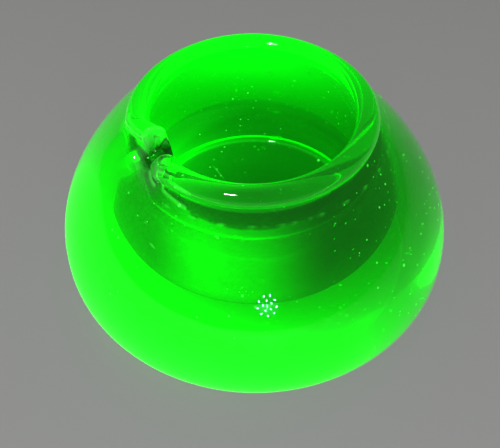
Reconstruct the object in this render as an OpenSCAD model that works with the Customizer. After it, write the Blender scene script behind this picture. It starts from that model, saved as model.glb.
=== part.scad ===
// Heavy glass dish: a low domed body around a round well, with a rounded lip
// and one rest pressed into it.  The glass is two gathers, fused hot: an inner
// cup that carries the well and the lip, and a thick casing that stops at the
// shoulder.  The origin is the middle of the flat base, +Z is up, and the rest
// opens towards -X.

/* [Overall] */
// Diameter at the widest line of the body
widest_d = 120; // [100:1:150]
// Height of the lip's top above the flat base
height = 54; // [44:0.5:72]

/* [Base and flank] */
// Height of the widest line above the base
widest_h = 7.5; // [5:0.5:9]
// Radius of the heel that turns in below the widest line
heel_r = 15; // [10:0.5:25]
// Height of the polished bevel at the base's edge
bevel = 1; // [0.5:0.1:2]
// How far the flank climbs before it leans in
flank_rise = 17.5; // [12:0.5:22]
// How far the flank follows its shoulder slope before it turns down
shoulder_run = 11.5; // [7:0.5:16]
// Slope of the shoulder below level, in degrees
shoulder_slope = 40; // [30:1:48]

/* [Well and lip] */
// Diameter of the well below its neck
well_d = 65.4; // [54:0.2:79]
// Thickness of the glass under the well
floor_t = 10.5; // [8:0.5:16]
// Radius of the corner between the well's wall and floor
well_corner = 2; // [0.5:0.25:5]
// Radius of the neck that draws the well in to the lip
neck_r = 20; // [12:0.5:30]
// Radius of the rounded lip
lip_round = 3.25; // [2.5:0.05:4]
// How far the neck draws the middle of the lip in from the well's wall
lip_draw = 1.5; // [0:0.1:4]
// Angle below level at which the flank meets the lip, in degrees
lip_seat = 18; // [0:1:45]

/* [Gathers] */
// Thickness of the cup's own wall; the casing stops at the line where it ends
cup_wall_t = 4.7; // [3.5:0.1:8]
// Thickness of the cup's own floor
cup_floor_t = 4.5; // [3:0.25:6]
// Radius of the corner around the underside of the cup
cup_corner = 6; // [3:0.5:8]

/* [Rest] */
// Width of the rest pressed through the lip
rest_w = 9; // [7:0.25:11]
// Depth of the rest below the lip's top, under the middle of the lip
rest_depth = 7; // [5:0.25:9]
// Fall of the rest towards the outside, in degrees
rest_fall = 8; // [0:1:12]

/* [Hidden] */
$fn = 180;
arc_step = 6;
flank_steps = 20;
past = 10;

widest_r = widest_d / 2;
well_r = well_d / 2;
lip_r = well_r - lip_draw;
lip_z = height - lip_round;
shoulder_r = well_r + cup_wall_t;
cup_base_z = floor_t - cup_floor_t;
rest_r = rest_w / 2;
rest_z = height - rest_depth + rest_r;
heel_mid = [widest_r - heel_r, widest_h];
lip_mid = [lip_r, lip_z];
// The neck's arc runs smoothly from the upright wall into the inside of the lip.
neck_mid_r = well_r - neck_r;
neck_reach = neck_r + lip_round;
neck_mid = [neck_mid_r, lip_z - sqrt(pow(neck_reach, 2) - pow(lip_r - neck_mid_r, 2))];
neck_turn = atan2(lip_z - neck_mid.y, lip_r - neck_mid.x);

// Points on an arc, from angle a to angle b
function arc(mid, r, a, b) =
    let (n = max(2, ceil(abs(b - a) / arc_step)))
    [for (i = [0 : n]) let (t = a + (b - a) * i / n) mid + r * [cos(t), sin(t)]];

// A point on a cubic curve, at a share t of its run
function cubic(p, t) =
    pow(1 - t, 3) * p[0] + 3 * t * pow(1 - t, 2) * p[1] + 3 * t * t * (1 - t) * p[2] + pow(t, 3) * p[3];

// The flank, from the widest line up to the lip's seat
flank_top = lip_mid + lip_round * [cos(lip_seat), -sin(lip_seat)];
flank_curve = [
    [widest_r, widest_h],
    [widest_r, widest_h + flank_rise],
    flank_top + shoulder_run * [cos(shoulder_slope), -sin(shoulder_slope)],
    flank_top
];
flank = [for (i = [1 : flank_steps - 1]) cubic(flank_curve, i / flank_steps)];

// Half of the body's section, without its well
module body_half() {
    heel = arc(heel_mid, heel_r, -asin((widest_h - bevel) / heel_r), 0);
    lip = arc(lip_mid, lip_round, -lip_seat, 180 + neck_turn);
    polygon(concat([[0, 0], [heel[0].x - bevel, 0]], heel, flank, lip, [[0, lip[len(lip) - 1].y]]));
}

// Half of the well's section, closed above the mouth
module well_half() {
    corner = arc([well_r - well_corner, floor_t + well_corner], well_corner, -90, 0);
    neck = arc(neck_mid, neck_r, 0, neck_turn);
    throat = neck[len(neck) - 1];
    polygon(concat([[0, floor_t]], corner, neck, [[throat.x, height + past], [0, height + past]]));
}

// Half of the section of the seam between the two gathers
module seam_half() {
    corner = arc([shoulder_r - cup_corner, cup_base_z + cup_corner], cup_corner, -90, 0);
    polygon(concat([[0, cup_base_z]], corner, [[shoulder_r, height + past], [0, height + past]]));
}

// The rest: a round-bottomed groove that crosses the lip and falls outwards
module rest_cut() {
    reach = shoulder_r - lip_r + past;
    translate([-lip_r, 0, rest_z])
        rotate([0, -rest_fall, 0]) {
            rotate([0, 90, 0])
                cylinder(h = 2 * reach, r = rest_r, center = true);
            translate([-reach, -rest_r, 0])
                cube([2 * reach, rest_w, rest_depth + past]);
        }
}

module inner_cup() {
    color("#3dff4a", 0.6)
        difference() {
            rotate_extrude()
                difference() {
                    intersection() {
                        body_half();
                        seam_half();
                    }
                    well_half();
                }
            rest_cut();
        }
}

module outer_casing() {
    color("#12e02a", 0.45)
        difference() {
            rotate_extrude()
                difference() {
                    body_half();
                    seam_half();
                }
            rest_cut();
        }
}

inner_cup();
outer_casing();
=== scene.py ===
import math

import bmesh
import bpy
from mathutils import Matrix, Vector


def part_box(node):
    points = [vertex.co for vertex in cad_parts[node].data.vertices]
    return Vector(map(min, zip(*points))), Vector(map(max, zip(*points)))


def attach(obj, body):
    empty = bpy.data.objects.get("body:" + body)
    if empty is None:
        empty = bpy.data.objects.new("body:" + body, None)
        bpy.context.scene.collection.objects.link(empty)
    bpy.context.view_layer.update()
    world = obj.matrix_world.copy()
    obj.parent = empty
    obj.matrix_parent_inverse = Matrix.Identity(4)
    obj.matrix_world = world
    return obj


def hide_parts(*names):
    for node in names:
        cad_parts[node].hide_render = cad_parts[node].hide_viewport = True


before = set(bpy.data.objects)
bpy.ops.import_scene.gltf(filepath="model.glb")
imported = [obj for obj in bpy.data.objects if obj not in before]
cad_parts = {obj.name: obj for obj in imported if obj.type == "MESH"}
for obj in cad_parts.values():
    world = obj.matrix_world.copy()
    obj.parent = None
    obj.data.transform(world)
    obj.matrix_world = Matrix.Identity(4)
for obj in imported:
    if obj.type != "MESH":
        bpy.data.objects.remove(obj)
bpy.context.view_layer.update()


# ---- Inner cup ---------------------------------------------------------------
# The first gather of uranium glass: the well's wall and floor, the neck and the
# rounded lip.  It is blown and tooled hot, and the rest is pressed through its
# lip while it is soft.  The casing is fused to its outside.

MM = 0.001
cup_low, cup_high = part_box("inner_cup")
casing_low, casing_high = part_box("outer_casing")

height = cup_high.z
widest_r = min(casing_high.x, casing_high.y) - 0.1 * MM
shoulder_r = cup_high.x
cup_base_z = cup_low.z
cup_wall_t = 4.7 * MM
cup_floor_t = 4.5 * MM
well_r = shoulder_r - cup_wall_t
well_floor_z = cup_base_z + cup_floor_t
well_corner_r = 2.0 * MM
cup_corner_r = 6.0 * MM
lip_round = 3.25 * MM
lip_draw = 1.5 * MM
lip_mid = Vector((well_r - lip_draw, height - lip_round))
lip_seat = math.radians(18)
neck_r = 20.0 * MM
widest_z = 7.5 * MM
flank_rise = 17.5 * MM
shoulder_run = 11.5 * MM
shoulder_slope = math.radians(40)
turns = 300


def arc(mid, radius, start, end, steps):
    """Points of half a section, as radius and height, along an arc."""
    points = []
    for step in range(steps + 1):
        angle = start + (end - start) * step / steps
        points.append(mid + radius * Vector((math.cos(angle), math.sin(angle))))
    return points


def straight(start, end, steps):
    """Evenly spaced points from one place in the section to another."""
    return [start.lerp(end, step / steps) for step in range(steps + 1)]


def flank(share):
    """The flank's curve, from the widest line at 0 up to the lip's seat at 1."""
    top = lip_mid + lip_round * Vector((math.cos(lip_seat), -math.sin(lip_seat)))
    pulls = (
        Vector((widest_r, widest_z)),
        Vector((widest_r, widest_z + flank_rise)),
        top + shoulder_run * Vector((math.cos(shoulder_slope), -math.sin(shoulder_slope))),
        top,
    )
    rest = 1 - share
    shares = (rest ** 3, 3 * rest ** 2 * share, 3 * rest * share ** 2, share ** 3)
    return sum((s * pull for s, pull in zip(shares, pulls)), Vector((0, 0)))


def flank_share_at(radius):
    """How far up the flank a radius is met."""
    low, high = 0.0, 1.0
    for _ in range(40):
        middle = (low + high) / 2
        if flank(middle).x > radius:
            low = middle
        else:
            high = middle
    return low


shoulder_share = flank_share_at(shoulder_r)
shoulder = flank(shoulder_share)

# The side of the dish nearest the camera, in degrees around it from +X.  The painted shade
# on half of the well's wall and the painted glow are laid out from it.  Both are fixed on the
# dish.
front_at = -123

rest_at = math.pi
rest_depth = 6.3 * MM
rest_pinch = 4.0 * MM
rest_reach = 10 * MM
bunching = 0.72
crease_depth = 0.25 * MM
crease_half_w = 0.24 * MM
out_of_round = 0.25 * MM
lip_wave = 0.15 * MM
lean = Vector((-0.84, 0.54, 0)) * 0.9 * MM


def ease(low, high, value):
    """Rises smoothly from 0 at low to 1 at high."""
    share = min(1.0, max(0.0, (value - low) / (high - low)))
    return share * share * (3 - 2 * share)


# How deep the rest is pressed, as a share, at each step around the lip in degrees.
press_steps = ((-11, 0), (-7, 1), (-2, 1), (3.5, 0.6), (12, 0.3), (18, 0))

# Creases the tool left, which also shine with painted glints: where each starts and ends, in
# degrees from the rest and in millimetres above the base.
creases = (
    (13, 53.2, 16.5, 50.7),
    (16.5, 50.7, 19, 48.9),
    (19, 48.9, 31, 48.0),
    (13, 53.2, 22, 53.0),
    (25, 51.8, 32, 51.4),
    (4, 49.4, 14, 48.9),
    (-25, 53.4, -11, 52.4),
    (-34, 52.2, -9, 51.2),
    (-28, 50.3, -12, 49.8),
)


def pressed_at(across):
    """The share of the rest's depth at an angle from its middle."""
    if across <= press_steps[0][0] or across >= press_steps[-1][0]:
        return 0.0
    for (start, deep), (end, next_deep) in zip(press_steps, press_steps[1:]):
        if across <= end:
            return deep + (next_deep - deep) * (across - start) / (end - start)


def across_at(place):
    """The angle of a place from the middle of the rest, in degrees."""
    turn = math.atan2(place.y, place.x)
    return math.degrees((turn - rest_at + math.pi) % (2 * math.pi) - math.pi)


def crease_and_glint_at(place):
    """1 along the tool's creases or on an edge of the rest, 0 away from them; less along the
    shoulder line.  It dents the glass there and sets painted glints along those lines.
    """
    radius = math.hypot(place.x, place.y)
    across = across_at(place)
    on_shoulder_line = abs(radius - shoulder_r) < 0.1 * MM and place.z > shoulder.y - 0.1 * MM
    if on_shoulder_line and across > 20:
        return 0.45 * max(0.0, math.sin(0.31 * across) * math.sin(0.83 * across + 1))
    if abs(across) > 45 or radius < lip_mid.x - 3 * MM or place.z < height - rest_reach:
        return 0.0
    per_degree = math.radians(1) * radius
    spot = Vector((across * per_degree, place.z))
    gap = rest_reach
    for start_across, start_z, end_across, end_z in creases:
        start = Vector((start_across * per_degree, start_z * MM))
        run = Vector((end_across * per_degree, end_z * MM)) - start
        share = min(1.0, max(0.0, (spot - start).dot(run) / run.length_squared))
        if radius > lip_mid.x:
            gap = min(gap, (spot - start - share * run).length)
    if place.z > height - 4 * MM:
        for edge_across in (press_steps[0][0], press_steps[3][0]):
            gap = min(gap, abs(across - edge_across) * per_degree)
    return math.exp(-(gap / crease_half_w) ** 2)


def bunched(place):
    """Draws the rows of points together beside the rest, where the shape is finest."""
    turn = math.atan2(place.y, place.x) - rest_at
    return Matrix.Rotation(-bunching * math.sin(turn), 3, "Z") @ place


def hand_worked(place):
    """Moves a point of the true lathe shape to where the hot glass settled by hand."""
    radius = math.hypot(place.x, place.y)
    if radius < 0.01 * MM:
        return place.copy()
    turn = math.atan2(place.y, place.x)
    across = across_at(place)
    pressed = pressed_at(across)
    pinched = ease(-24, -7, across) * (1 - ease(-7, 16, across))
    high_up = ease(height - rest_reach, height, place.z)
    at_lip = ease(height - rest_reach - 4 * MM, height - 3 * MM, place.z)
    z = place.z - rest_depth * pressed * high_up
    radius -= rest_pinch * pinched * at_lip
    radius -= crease_depth * crease_and_glint_at(place)
    wobble = ease(shoulder.y - 6 * MM, height, place.z)
    radius += wobble * out_of_round * math.sin(2 * turn + 0.6)
    z -= wobble * lip_wave * (1 + math.sin(3 * turn + 1.1))
    moved = Vector((radius * math.cos(turn), radius * math.sin(turn), z))
    return moved + lean * (z / height)


sharpest_smooth = math.radians(32)
# Painted shade: how dark the rest and the front half of the well's wall are made.
rest_painted_shade = 0.28
wall_painted_shade = 0.92
middle_painted_shade = 0.46


def painted_shade_at(place):
    """How much light the glass loses as painted shade, in the rest and on half of the well's wall.

    The half is the one nearest the camera, and the rest is darkened as painted shade in its
    hollow.
    The painted shade on the wall stands in for an effect of light in the glass that depends on the
    viewpoint, so it is out of place from elsewhere.
    """
    radius = math.hypot(place.x, place.y)
    if place.z > height - 8 * MM:
        on_lip = ease(height - 8 * MM, height - 4 * MM, place.z)
        return rest_painted_shade * pressed_at(across_at(place)) * on_lip
    in_well = radius < well_r + 0.1 * MM
    if not in_well or not well_floor_z + 1 * MM < place.z < height - 10 * MM:
        return 0.0
    across = math.degrees(math.atan2(place.y, place.x)) - front_at
    across = (across + 180) % 360 - 180
    on_front = 1 - ease(82, 96, abs(across))
    at_middle = 1 - ease(8, 42, abs(across + 8))
    return on_front * (wall_painted_shade + (middle_painted_shade - wall_painted_shade) * at_middle)


def spun(name, shown_line, seam_line):
    """A closed, smooth shape turned from its outside line and the line of its seam.

    It carries how much it is seam, its painted shade, and where it is creased, which also sets
    painted glints.
    """
    mesh = bpy.data.meshes.new(name)
    bm = bmesh.new()
    seam = bm.faces.layers.float.new("seam")
    painted_shade = bm.verts.layers.float.new("painted_shade")
    crease_glint = bm.verts.layers.float.new("crease_glint")
    for line, is_seam in ((shown_line, 0.0), (seam_line, 1.0)):
        before = set(bm.faces)
        corners = [bm.verts.new((point.x, 0, point.y)) for point in line]
        edges = [bm.edges.new(pair) for pair in zip(corners, corners[1:])]
        bmesh.ops.spin(
            bm, geom=corners + edges, cent=(0, 0, 0), axis=(0, 0, 1),
            angle=2 * math.pi, steps=turns, use_merge=True, use_duplicate=False,
        )
        for face in bm.faces:
            if face not in before:
                face[seam] = is_seam
    bmesh.ops.remove_doubles(bm, verts=bm.verts[:], dist=0.001 * MM)
    bmesh.ops.recalc_face_normals(bm, faces=bm.faces[:])
    for vert in bm.verts:
        place = bunched(vert.co)
        vert[painted_shade] = painted_shade_at(place)
        vert[crease_glint] = crease_and_glint_at(place)
        vert.co = hand_worked(place)
    for face in bm.faces:
        face.smooth = True
    for edge in bm.edges:
        edge.smooth = edge.calc_face_angle(0) < sharpest_smooth
    bm.to_mesh(mesh)
    bm.free()
    piece = bpy.data.objects.new(name, mesh)
    bpy.context.scene.collection.objects.link(piece)
    return piece


neck_mid_r = well_r - neck_r
neck_reach = neck_r + lip_round
neck_drop = math.sqrt(neck_reach ** 2 - (lip_mid.x - neck_mid_r) ** 2)
neck_mid = Vector((neck_mid_r, lip_mid.y - neck_drop))
neck_turn = math.atan2(lip_mid.y - neck_mid.y, lip_mid.x - neck_mid.x)

well_corner = Vector((well_r - well_corner_r, well_floor_z + well_corner_r))
cup_shown = straight(Vector((0, well_floor_z)), Vector((well_corner.x, well_floor_z)), 14)
cup_shown += arc(well_corner, well_corner_r, -math.pi / 2, 0, 8)[1:]
cup_shown += straight(Vector((well_r, well_corner.y)), Vector((well_r, neck_mid.y)), 12)[1:]
cup_shown += arc(neck_mid, neck_r, 0, neck_turn, 14)[1:]
cup_shown += arc(lip_mid, lip_round, math.pi + neck_turn, -lip_seat, 26)[1:]
cup_shown += [flank(1 - (1 - shoulder_share) * step / 10) for step in range(1, 11)]

# The cup's side of the seam stands a hair inside the casing's, so that the two never cross.
seam_gap = 0.01 * MM
cup_corner = Vector((shoulder_r - cup_corner_r, cup_base_z + cup_corner_r))
cup_seam = [Vector((0, cup_base_z + seam_gap))]
cup_seam += arc(cup_corner, cup_corner_r - seam_gap, -math.pi / 2, 0, 10)
cup_seam += straight(
    Vector((shoulder_r - seam_gap, cup_corner.y)), Vector((shoulder_r - seam_gap, shoulder.y)), 16,
)[1:]
cup_seam[-1] = cup_shown[-1].copy()


glass_ior = 1.5
body_tint = (0.1, 0.93, 0.15, 1)
clear_colour = (0.72, 1, 0.76, 1)
# Painted shade: the dark colour given to the rest and the front half of the well's wall.
painted_shade_colour = (0, 0.04, 0, 1)
# Painted light: the colour of the glow through the glass and on its surface, and how strongly it
# glows at the front, the back and the lip.
glow_colour = (0.0, 1.0, 0.012, 1)
painted_surface_glow_colour = (0.06, 1, 0.06, 1)
front_strength = 190.0
back_strength = 640.0
lip_strength = 22.0
rest_place = (-0.034, 0.001, 0.049)


def uranium_glass(name):
    """Clear glass that glows green all through as painted light: low at the front left, high at
    the back.

    Front and left are as the camera faces the dish, and the painted glow stays fixed on it.
    """
    glass = bpy.data.materials.new(name)
    glass.use_nodes = True
    nodes = glass.node_tree.nodes
    links = glass.node_tree.links
    surface = nodes["Principled BSDF"]
    output = nodes["Material Output"]

    def work(kind, first, second=None, third=None):
        """One step of arithmetic on values or sockets."""
        step = nodes.new("ShaderNodeMath")
        step.operation = kind
        for socket, value in zip(step.inputs, (first, second, third)):
            if isinstance(value, (int, float)):
                socket.default_value = value
            elif value is not None:
                links.new(value, socket)
        return step.outputs[0]

    # Light crosses the seam unbent, because the two gathers are fused there.
    seam = nodes.new("ShaderNodeAttribute")
    seam.attribute_name = "seam"
    bending = work("MULTIPLY_ADD", seam.outputs["Fac"], 1.0 - glass_ior, glass_ior)
    links.new(bending, surface.inputs["IOR"])
    # Painted shade: this attribute darkens the glass and takes away its clearness in the rest and
    # on the front half of the well's wall.
    painted_shade_attribute = nodes.new("ShaderNodeAttribute")
    painted_shade_attribute.attribute_name = "painted_shade"
    shade = nodes.new("ShaderNodeMix")
    shade.data_type = "RGBA"
    shade_share, shade_clear, shade_painted = shade.inputs[0], shade.inputs[6], shade.inputs[7]
    shade_clear.default_value = clear_colour
    shade_painted.default_value = painted_shade_colour
    links.new(work("MINIMUM", work("MULTIPLY", painted_shade_attribute.outputs["Fac"], 4.0), 1.0), shade_share)
    links.new(shade.outputs[2], surface.inputs["Base Color"])
    links.new(work("SUBTRACT", 1.0, painted_shade_attribute.outputs["Fac"]), surface.inputs["Transmission Weight"])

    # The painted glow runs from left to right, front to back and low to high across the dish.
    place = nodes.new("ShaderNodeTexCoord")
    turned = nodes.new("ShaderNodeMapping")
    turned.vector_type = "TEXTURE"
    turned.inputs["Rotation"].default_value = (0, 0, math.radians(front_at + 90))
    turned.inputs["Scale"].default_value = (0.12, 0.12, 0.054)
    split = nodes.new("ShaderNodeSeparateXYZ")
    links.new(place.outputs["Object"], turned.inputs["Vector"])
    links.new(turned.outputs["Vector"], split.inputs["Vector"])
    right = work("ADD", split.outputs["X"], 0.5)
    back = work("ADD", split.outputs["Y"], 0.5)
    left = work("SUBTRACT", 1.0, right)
    front = work("SUBTRACT", 1.0, back)
    high = split.outputs["Z"]
    low = work("SUBTRACT", 1.0, high)
    middle = work("MULTIPLY", right, left)
    across = work("MULTIPLY", split.outputs["X"], split.outputs["X"])
    out_from_middle = work("MULTIPLY_ADD", split.outputs["Y"], split.outputs["Y"], across)
    outer = work("MINIMUM", work("MULTIPLY_ADD", out_from_middle, 8.0, 0.1), 1.0)
    sideways = work("MULTIPLY_ADD", work("MULTIPLY", left, left), 2.4, 0.22)
    front_glow = work("MULTIPLY", work("MULTIPLY", work("POWER", low, 5.0), front), sideways)
    front_glow = work("MULTIPLY", front_glow, outer)
    high_back = work("MULTIPLY", work("POWER", high, 2.4), work("POWER", back, 3.5))
    back_glow = work("MULTIPLY", high_back, middle)
    lip_glow = work("MULTIPLY", work("POWER", high, 7.0), work("MAXIMUM", left, back))
    from_rest = nodes.new("ShaderNodeVectorMath")
    from_rest.operation = "DISTANCE"
    from_rest.inputs[1].default_value = rest_place
    links.new(place.outputs["Object"], from_rest.inputs[0])
    clear_of_rest = work("MULTIPLY_ADD", from_rest.outputs["Value"], 110.0, -0.55)
    clear_of_rest = work("MINIMUM", work("MAXIMUM", clear_of_rest, 0.0), 1.0)
    lip_glow = work("MULTIPLY", lip_glow, clear_of_rest)
    glow = work("MULTIPLY", front_glow, front_strength)
    glow = work("MULTIPLY_ADD", back_glow, back_strength, glow)
    glow = work("MULTIPLY_ADD", lip_glow, lip_strength, glow)

    def speckle(scale, size, share, seed, stretch=1.0):
        """Small grains, or scratches where stretched: 1 inside one and 0 elsewhere."""
        shifted = nodes.new("ShaderNodeMapping")
        shifted.inputs["Location"].default_value = (seed, seed * 0.7, seed * 0.3)
        shifted.inputs["Rotation"].default_value = (0, 0, seed)
        shifted.inputs["Scale"].default_value = (1, 1 / stretch, 1)
        cells = nodes.new("ShaderNodeTexVoronoi")
        cells.inputs["Scale"].default_value = scale
        links.new(place.outputs["Object"], shifted.inputs["Vector"])
        links.new(shifted.outputs["Vector"], cells.inputs["Vector"])
        chosen = nodes.new("ShaderNodeSeparateColor")
        links.new(cells.outputs["Color"], chosen.inputs["Color"])
        reach = work("MULTIPLY", chosen.outputs["Green"], size)
        near = work("LESS_THAN", cells.outputs["Distance"], reach)
        return work("MULTIPLY", near, work("LESS_THAN", chosen.outputs["Red"], share))

    # Dust and scratches on the bare surfaces shine with painted glints, with more dust patches
    # towards the right, and the surface itself has a faint painted glow, brighter at the front;
    # the dust and scratches also roughen the surface.
    bare = work("SUBTRACT", 1.0, seam.outputs["Fac"])
    long_scratches = speckle(500, 0.22, 0.03, 1.3, 14.0)
    longer_scratches = speckle(650, 0.2, 0.03, 2.2, 18.0)
    scratches = work("MAXIMUM", long_scratches, longer_scratches)
    dust_and_glints = work("MAXIMUM", speckle(420, 0.2, 0.12, 3.1), speckle(900, 0.3, 0.10, 7.7))
    dusty = nodes.new("ShaderNodeTexNoise")
    dusty.inputs["Scale"].default_value = 28
    dusty.inputs["Detail"].default_value = 1
    links.new(place.outputs["Object"], dusty.inputs["Vector"])
    settled = work("ADD", dusty.outputs["Fac"], work("MULTIPLY", right, 0.16))
    patchy = work("GREATER_THAN", settled, 0.58)
    dust_and_glints = work("MULTIPLY", work("MULTIPLY", dust_and_glints, patchy), bare)
    dust_and_glints = work("MULTIPLY_ADD", work("MULTIPLY", scratches, bare), 0.3, dust_and_glints)
    # Painted light: a faint glow of the surface, brighter at the front.
    painted_skin_glow = work("MULTIPLY_ADD", front, 0.02, 0.015)
    # Painted highlights: glints along the creases, the rest's edges and the shoulder line.
    crease_glint = nodes.new("ShaderNodeAttribute")
    crease_glint.attribute_name = "crease_glint"
    painted_glints_and_glow = work("MULTIPLY_ADD", dust_and_glints, 0.8, painted_skin_glow)
    painted_surface_light = work("MULTIPLY_ADD", crease_glint.outputs["Fac"], 0.5, painted_glints_and_glow)
    links.new(work("MULTIPLY", painted_surface_light, bare), surface.inputs["Emission Strength"])
    surface.inputs["Emission Color"].default_value = painted_surface_glow_colour

    # Slow ripples in the surface, and smears from handling.
    ripple = nodes.new("ShaderNodeTexNoise")
    ripple.inputs["Scale"].default_value = 45
    ripple.inputs["Detail"].default_value = 2
    links.new(place.outputs["Object"], ripple.inputs["Vector"])
    dents = nodes.new("ShaderNodeBump")
    dents.inputs["Strength"].default_value = 0.25
    dents.inputs["Distance"].default_value = 0.4 * MM
    links.new(work("MULTIPLY", ripple.outputs["Fac"], bare), dents.inputs["Height"])
    links.new(dents.outputs["Normal"], surface.inputs["Normal"])

    smears = nodes.new("ShaderNodeTexNoise")
    smears.inputs["Scale"].default_value = 90
    smears.inputs["Detail"].default_value = 4
    smears.inputs["Distortion"].default_value = 1.2
    links.new(place.outputs["Object"], smears.inputs["Vector"])
    smear = work("MULTIPLY", work("SUBTRACT", smears.outputs["Fac"], 0.62), 0.4)
    handled = work("MAXIMUM", smear, work("MULTIPLY", dust_and_glints, 0.5))
    links.new(work("MULTIPLY", work("MAXIMUM", handled, 0.0), bare), surface.inputs["Roughness"])

    soak = nodes.new("ShaderNodeVolumeAbsorption")
    soak.inputs["Color"].default_value = body_tint
    soak.inputs["Density"].default_value = 170
    # Painted light: the glass gives out this glow itself, though it is no lamp.
    shine = nodes.new("ShaderNodeEmission")
    shine.inputs["Color"].default_value = glow_colour
    links.new(glow, shine.inputs["Strength"])
    both = nodes.new("ShaderNodeAddShader")
    links.new(soak.outputs[0], both.inputs[0])
    links.new(shine.outputs[0], both.inputs[1])
    links.new(both.outputs[0], output.inputs["Volume"])
    return glass


cup = spun("cup_glass", cup_shown, cup_seam)
cup.data.materials.append(uranium_glass("cup_uranium_glass"))
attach(cup, "root")
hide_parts("inner_cup")


# ---- Outer casing ------------------------------------------------------------
# The thick second gather, laid over the cup and marvered to a low dome.  It
# stops at the shoulder line, and its base is ground flat and polished.

heel_r = 15.0 * MM
bevel = 1.0 * MM
heel_mid = Vector((widest_r - heel_r, widest_z))
heel_start = -math.asin((widest_z - bevel) / heel_r)
heel = arc(heel_mid, heel_r, heel_start, 0, 12)
base_edge = Vector((heel[0].x - bevel, 0))

casing_shown = straight(Vector((0, 0)), base_edge, 20)
casing_shown += straight(base_edge, heel[0], 2)[1:]
casing_shown += heel[1:]
casing_shown += [flank(shoulder_share * step / 48) for step in range(1, 49)]

casing_seam = [Vector((0, cup_base_z))]
casing_seam += arc(cup_corner, cup_corner_r, -math.pi / 2, 0, 10)
casing_seam += straight(Vector((shoulder_r, cup_corner.y)), shoulder, 16)[1:]

casing = spun("casing_glass", casing_shown, casing_seam)
casing.data.materials.append(uranium_glass("casing_uranium_glass"))
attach(casing, "root")
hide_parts("outer_casing")


# ---- Table, light and camera -------------------------------------------------
# A plain pale table top, a soft lamp overhead and a hand lamp low in front.  The
# table is set a hair below the base, so that air lies under the glass and the base
# mirrors light.

table_drop = 0.4 * MM
bpy.ops.mesh.primitive_plane_add(size=6, location=(0, 0, -table_drop))
table = bpy.context.object
table.name = "table_top"
paint = bpy.data.materials.new("pale_table")
paint.use_nodes = True
paint_surface = paint.node_tree.nodes["Principled BSDF"]
paint_surface.inputs["Base Color"].default_value = (0.62, 0.62, 0.6, 1)
paint_surface.inputs["Roughness"].default_value = 0.6
table.data.materials.append(paint)


def lamp(name, place, aim, width, power):
    """A round soft light that faces a point."""
    light = bpy.data.lights.new(name, "AREA")
    light.shape = "DISK"
    light.size = width
    light.energy = power
    holder = bpy.data.objects.new(name, light)
    holder.location = place
    holder.rotation_euler = (Vector(aim) - Vector(place)).to_track_quat("-Z", "Y").to_euler()
    bpy.context.scene.collection.objects.link(holder)
    return holder


lamp("key", (-0.9, -0.7, 1.6), (0, 0, 0), 0.25, 16)

# The hand lamp has rings of small bulbs.
hand_lamp = Vector((-0.19, -0.40, 0.12))
lamp_aim = Vector((0, 0, 0.03))
bulb_spacing = 18 * MM
facing = (lamp_aim - hand_lamp).to_track_quat("-Z", "Y")
for ring, count in enumerate((1, 5, 9)):
    for number in range(count):
        angle = 2 * math.pi * (number + 0.37 * ring) / count
        spread = Vector((math.cos(angle), math.sin(angle), 0)) * bulb_spacing * ring
        bulb_place = hand_lamp + facing @ spread
        bulb = lamp("bulb_%d_%d" % (ring, number), bulb_place, lamp_aim, 0.007, 0.008)
        bulb.data.color = (0.55, 0.7, 1.0)

world = bpy.data.worlds.new("studio")
bpy.context.scene.world = world
world.use_nodes = True
world.node_tree.nodes["Background"].inputs["Color"].default_value = (0.08, 0.08, 0.08, 1)

eye = Vector((-69.54, -107.09, 156.37)) * MM
look_at = Vector((-9.0, -11.2, 20)) * MM
camera_data = bpy.data.cameras.new("camera")
camera_data.lens = 43.2
camera_data.sensor_width = 36
camera_data.clip_start = 0.01
camera = bpy.data.objects.new("camera", camera_data)
camera.matrix_world = Matrix.LocRotScale(eye, (look_at - eye).to_track_quat("-Z", "Y"), None)
bpy.context.scene.collection.objects.link(camera)
bpy.context.scene.camera = camera

scene = bpy.context.scene
scene.view_settings.view_transform = "Standard"
scene.cycles.caustics_refractive = False
scene.cycles.caustics_reflective = False
scene.cycles.max_bounces = 40
scene.cycles.transmission_bounces = 40
scene.cycles.glossy_bounces = 16
scene.cycles.transparent_max_bounces = 16
